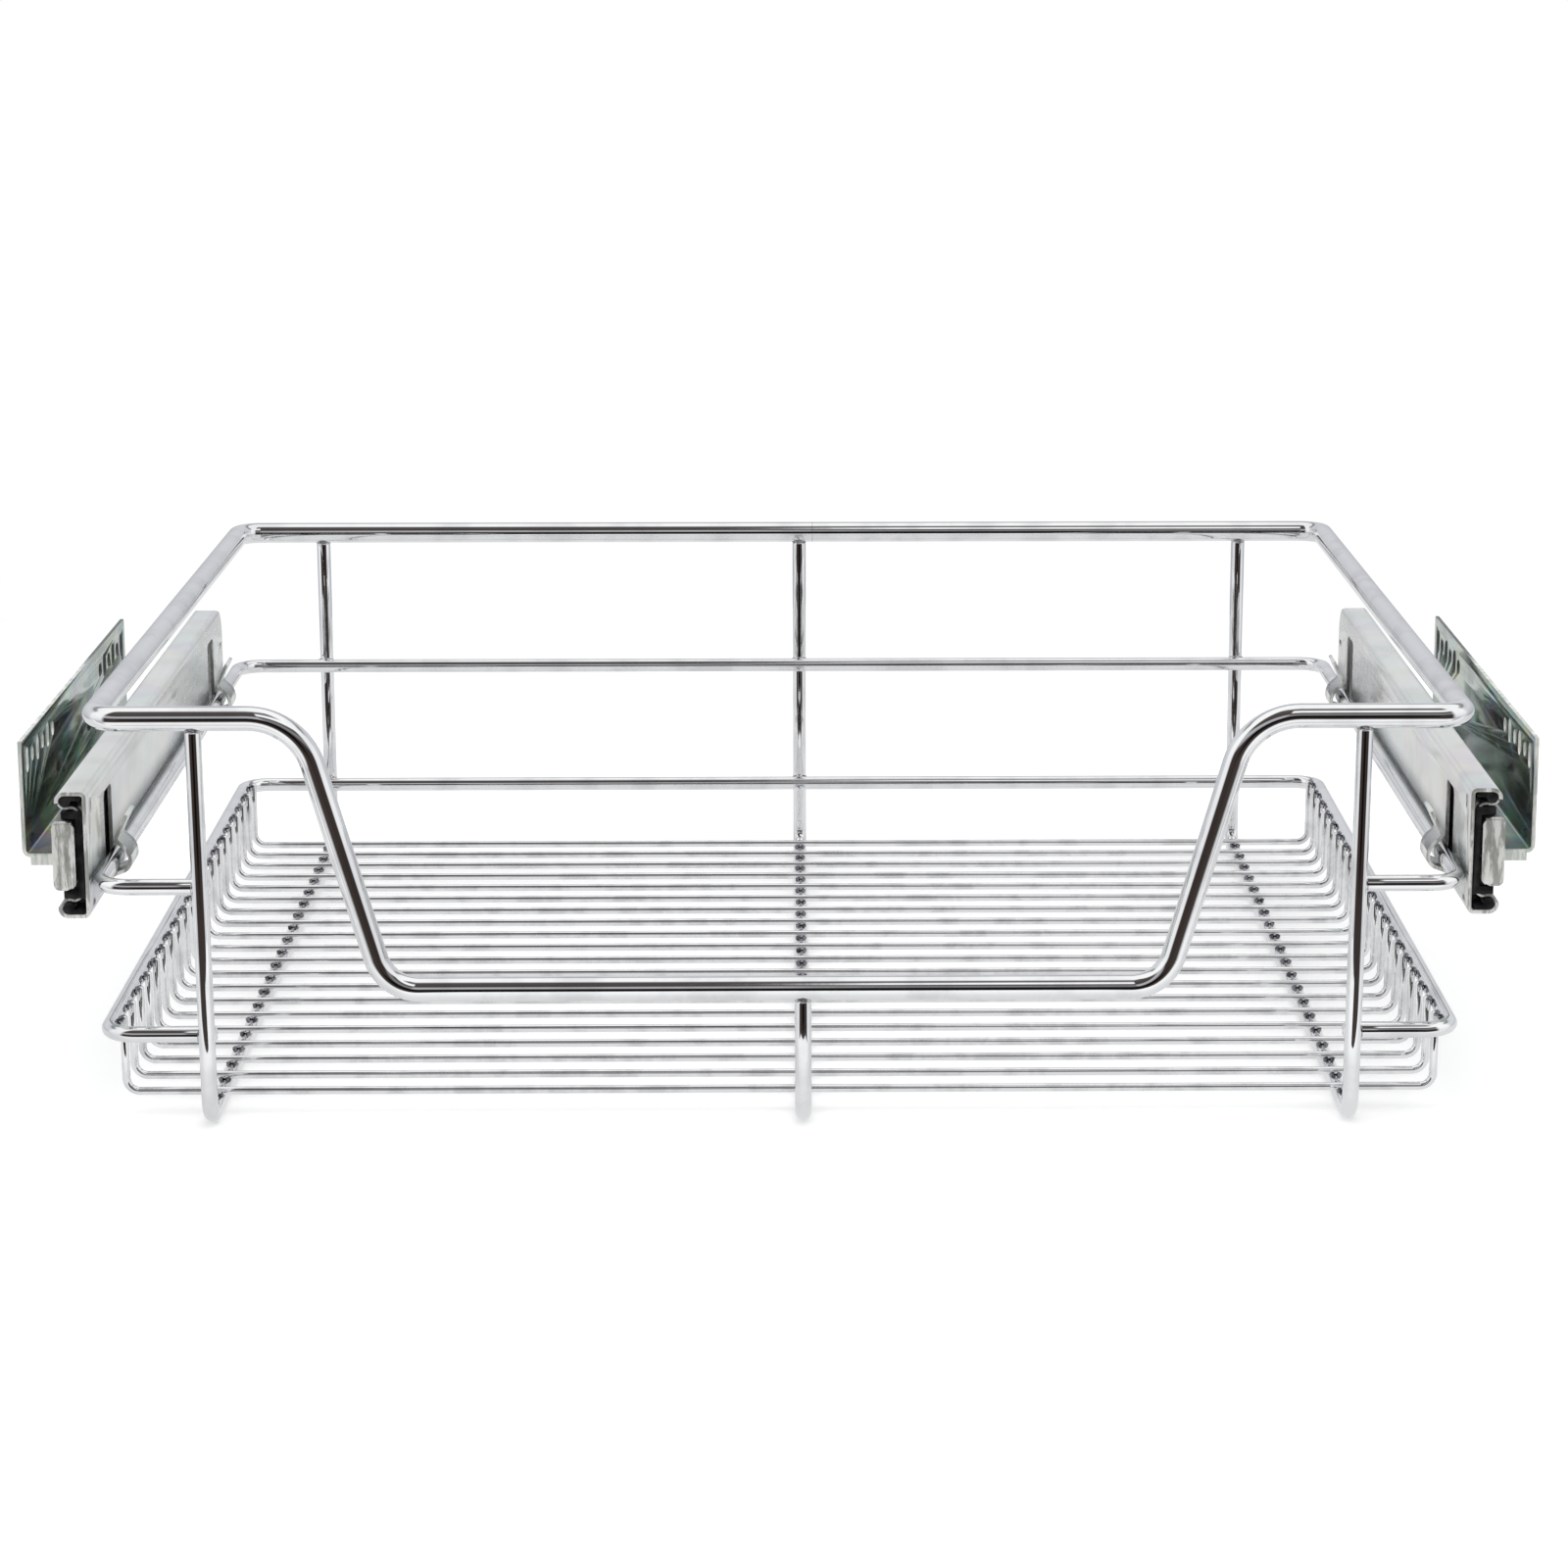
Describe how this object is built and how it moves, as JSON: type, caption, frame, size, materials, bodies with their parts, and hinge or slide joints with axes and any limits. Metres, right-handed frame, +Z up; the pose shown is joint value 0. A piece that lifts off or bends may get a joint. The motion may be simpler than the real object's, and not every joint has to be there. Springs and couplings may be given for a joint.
{
  "type": "pull out cabinet basket",
  "caption": "Chromed wire basket with a dipped front rail, carried by a telescopic ball runner and a slotted cabinet bracket on each side.",
  "frame": {"origin": "centre of the footprint, on the surface that the three base wires stand on", "axes": "+X across the width to the right seen from the front, +Y from the front to the rear, +Z up"},
  "size_m": [0.564, 0.419, 0.157],
  "materials": {
    "chromed_wire": "bright chrome plated steel wire, mirror polished",
    "chromed_fine_wire": "bright chrome plated fine steel wire",
    "zinc_channel": "pale satin zinc plated cold rolled steel with a faint rainbow passivation",
    "zinc_inner": "satin zinc plated steel, greased",
    "passivated_zinc": "glossy zinc plate with a green, yellow and violet passivation bloom",
    "rivet_steel": "zinc plated rivet",
    "black_plastic": "black moulded plastic with a slight oil sheen",
    "ball_steel": "polished bearing steel"
  },
  "bodies": {
    "cabinet_side": {"left_cabinet_member": "zinc_inner", "right_cabinet_member": "zinc_inner", "left_bracket": "passivated_zinc", "right_bracket": "passivated_zinc", "left_bracket_rivets": "rivet_steel", "right_bracket_rivets": "rivet_steel"},
    "basket": {"top_rail": "chromed_wire", "middle_rail": "chromed_wire", "lower_rail": "chromed_wire", "left_upright": "chromed_wire", "centre_upright": "chromed_wire", "right_upright": "chromed_wire", "cross_wires": "chromed_fine_wire", "left_basket_channel": "zinc_channel", "right_basket_channel": "zinc_channel", "left_front_bumpers": "black_plastic", "right_front_bumpers": "black_plastic"},
    "left_intermediate": {"left_intermediate_member": "zinc_inner", "left_front_guide": "black_plastic"},
    "left_outer_row": {"left_outer_cage": "black_plastic", "left_outer_balls": "ball_steel"},
    "left_inner_row": {"left_inner_cage": "black_plastic", "left_inner_balls": "ball_steel"},
    "right_intermediate": {"right_intermediate_member": "zinc_inner", "right_front_guide": "black_plastic"},
    "right_outer_row": {"right_outer_cage": "black_plastic", "right_outer_balls": "ball_steel"},
    "right_inner_row": {"right_inner_cage": "black_plastic", "right_inner_balls": "ball_steel"}
  },
  "joints": [
    {"name": "basket_slide", "type": "slide", "parent": "cabinet_side", "child": "basket", "axis": [0, -1, 0], "range_m": [0, 0.35]},
    {"name": "left_intermediate_slide", "type": "slide", "parent": "cabinet_side", "child": "left_intermediate", "axis": [0, -1, 0], "range_m": [0, 0.175]},
    {"name": "left_outer_row_slide", "type": "slide", "parent": "cabinet_side", "child": "left_outer_row", "axis": [0, -1, 0], "range_m": [0, 0.2625]},
    {"name": "left_inner_row_slide", "type": "slide", "parent": "cabinet_side", "child": "left_inner_row", "axis": [0, -1, 0], "range_m": [0, 0.0875]},
    {"name": "right_intermediate_slide", "type": "slide", "parent": "cabinet_side", "child": "right_intermediate", "axis": [0, -1, 0], "range_m": [0, 0.175]},
    {"name": "right_outer_row_slide", "type": "slide", "parent": "cabinet_side", "child": "right_outer_row", "axis": [0, -1, 0], "range_m": [0, 0.2625]},
    {"name": "right_inner_row_slide", "type": "slide", "parent": "cabinet_side", "child": "right_inner_row", "axis": [0, -1, 0], "range_m": [0, 0.0875]}
  ],
  "couplings": [
    {"joint": "left_intermediate_slide", "follows": "basket_slide", "ratio": 0.5},
    {"joint": "left_outer_row_slide", "follows": "basket_slide", "ratio": 0.75},
    {"joint": "left_inner_row_slide", "follows": "basket_slide", "ratio": 0.25},
    {"joint": "right_intermediate_slide", "follows": "basket_slide", "ratio": 0.5},
    {"joint": "right_outer_row_slide", "follows": "basket_slide", "ratio": 0.75},
    {"joint": "right_inner_row_slide", "follows": "basket_slide", "ratio": 0.25}
  ]
}
